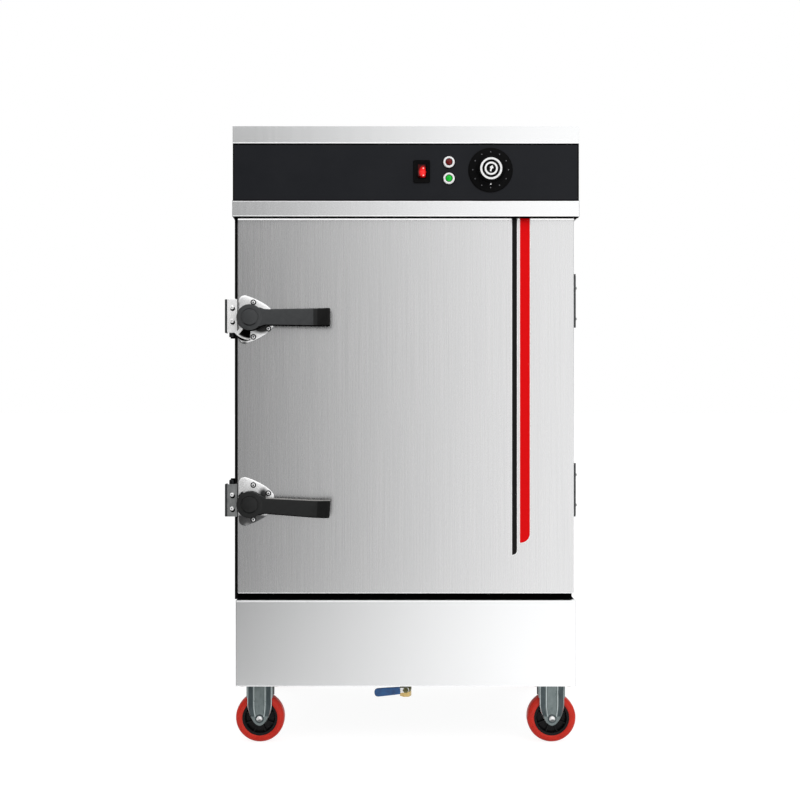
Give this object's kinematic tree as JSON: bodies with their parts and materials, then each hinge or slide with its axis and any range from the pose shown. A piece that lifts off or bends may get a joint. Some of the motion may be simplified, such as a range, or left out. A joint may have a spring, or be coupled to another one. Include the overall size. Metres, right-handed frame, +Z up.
{
  "type": "steaming cabinet",
  "caption": "Free-standing stainless steaming cabinet on casters: one insulated door with lever latches, trays on racks over a heated water tank, controls in the head.",
  "frame": {"origin": "on the floor, at the middle of the whole footprint, fittings included", "axes": "+Z up, -Y out of the front (the door), +X to the right as seen from the front"},
  "size_m": [0.7186, 0.67, 1.256],
  "materials": {
    "satin_steel": "fine satin stainless sheet",
    "brushed_steel": "stainless sheet with a vertical brushed grain",
    "liner_steel": "plain stainless sheet, mill finish",
    "tray_steel": "pressed stainless tray",
    "bright_steel": "polished stainless fittings",
    "zinc_steel": "zinc-plated steel",
    "fork_zinc": "grey-green plated pressed steel",
    "black_gloss": "smooth black control strip",
    "black_plastic": "moulded black plastic",
    "lever_nylon": "matt black moulded nylon",
    "black_rubber": "matt silicone seal",
    "mineral_wool": "fibrous insulation",
    "element_copper": "sheathed heating tube",
    "float_copper": "copper float ball and rod",
    "brass": "machined brass",
    "blue_vinyl": "blue vinyl sleeve",
    "red_lens": "lit red moulding",
    "green_lens": "lit green lens in a bright ring",
    "wheel_core": "black moulded core",
    "red_tyre": "smooth red polyurethane"
  },
  "bodies": {
    "root": {"side_panel_left": "satin_steel", "side_panel_right": "satin_steel", "back_panel": "satin_steel", "base_front_panel": "satin_steel", "chassis_plate": "zinc_steel", "door_frame": "satin_steel", "mouth_seal": "black_rubber", "inner_liner": "liner_steel", "insulation_jacket": "mineral_wool", "steam_vent": "satin_steel", "water_tank": "liner_steel", "heating_element": "element_copper", "float_valve": "brass", "drain_valve_body": "brass", "tray_rack_left": "liner_steel", "tray_rack_right": "liner_steel", "tray_1": "tray_steel", "tray_2": "tray_steel", "tray_3": "tray_steel", "tray_4": "tray_steel", "head_shell": "satin_steel", "head_floor": "zinc_steel", "control_strip": "black_gloss", "switch_housing": "black_plastic", "power_lamp": "red_lens", "work_lamp": "green_lens", "timer_unit": "black_plastic", "contactor": "black_plastic", "cable_gland": "black_plastic", "hinge_body_leaf_upper": "bright_steel", "hinge_body_leaf_lower": "bright_steel", "strike_upper": "bright_steel", "strike_lower": "bright_steel", "caster_fork_front_left": "fork_zinc", "caster_fork_front_right": "fork_zinc", "caster_fork_rear_left": "fork_zinc", "caster_fork_rear_right": "fork_zinc"},
    "door": {"door_outer_skin": "brushed_steel", "door_inner_skin": "liner_steel", "door_insulation": "mineral_wool", "hinge_door_leaf_upper": "bright_steel", "hinge_door_leaf_lower": "bright_steel", "latch_plate_upper": "bright_steel", "latch_plate_lower": "bright_steel"},
    "upper_lever": {"latch_lever_upper": "lever_nylon", "latch_cam_upper": "zinc_steel"},
    "lower_lever": {"latch_lever_lower": "lever_nylon", "latch_cam_lower": "zinc_steel"},
    "rocker": {"switch_rocker": "red_lens"},
    "timer": {"timer_knob": "black_plastic"},
    "float": {"float_arm": "float_copper"},
    "valve_lever": {"drain_valve_lever": "blue_vinyl"},
    "wheel_front_left": {"wheel_core_front_left": "wheel_core", "tyre_front_left": "red_tyre"},
    "wheel_front_right": {"wheel_core_front_right": "wheel_core", "tyre_front_right": "red_tyre"},
    "wheel_rear_left": {"wheel_core_rear_left": "wheel_core", "tyre_rear_left": "red_tyre"},
    "wheel_rear_right": {"wheel_core_rear_right": "wheel_core", "tyre_rear_right": "red_tyre"}
  },
  "joints": [
    {"name": "door_swing", "type": "hinge", "parent": "root", "child": "door", "pos_m": [0.35535, -0.25105, 0.691], "axis": [0, 0, 1], "range_deg": [0, 165]},
    {"name": "upper_lever_turn", "type": "hinge", "parent": "door", "child": "upper_lever", "pos_m": [-0.30515, -0.3, 0.8685], "axis": [0, -1, 0], "range_deg": [0, 90]},
    {"name": "lower_lever_turn", "type": "hinge", "parent": "door", "child": "lower_lever", "pos_m": [-0.30515, -0.3, 0.4925], "axis": [0, 1, 0], "range_deg": [0, 90]},
    {"name": "rocker_tilt", "type": "hinge", "parent": "root", "child": "rocker", "pos_m": [0.04035, -0.30115, 1.164], "axis": [1, 0, 0], "range_deg": [0, 20]},
    {"name": "timer_turn", "type": "hinge", "parent": "root", "child": "timer", "pos_m": [0.17935, -0.31, 1.167], "axis": [0, 1, 0], "range_deg": [0, 300]},
    {"name": "float_rise", "type": "hinge", "parent": "root", "child": "float", "pos_m": [0.20835, 0.21555, 0.2917], "axis": [-1, 0, 0], "range_deg": [0, 28]},
    {"name": "valve_turn", "type": "hinge", "parent": "root", "child": "valve_lever", "pos_m": [0.00835, -0.24, 0.1015], "axis": [0, -1, 0], "range_deg": [0, 90]},
    {"name": "wheel_front_left_spin", "type": "hinge", "parent": "root", "child": "wheel_front_left", "pos_m": [-0.29115, -0.25005, 0.05], "axis": [0, 1, 0], "continuous": true},
    {"name": "wheel_front_right_spin", "type": "hinge", "parent": "root", "child": "wheel_front_right", "pos_m": [0.30785, -0.25005, 0.05], "axis": [0, 1, 0], "continuous": true},
    {"name": "wheel_rear_left_spin", "type": "hinge", "parent": "root", "child": "wheel_rear_left", "pos_m": [-0.29115, 0.23995, 0.05], "axis": [0, 1, 0], "continuous": true},
    {"name": "wheel_rear_right_spin", "type": "hinge", "parent": "root", "child": "wheel_rear_right", "pos_m": [0.30785, 0.23995, 0.05], "axis": [0, 1, 0], "continuous": true}
  ]
}
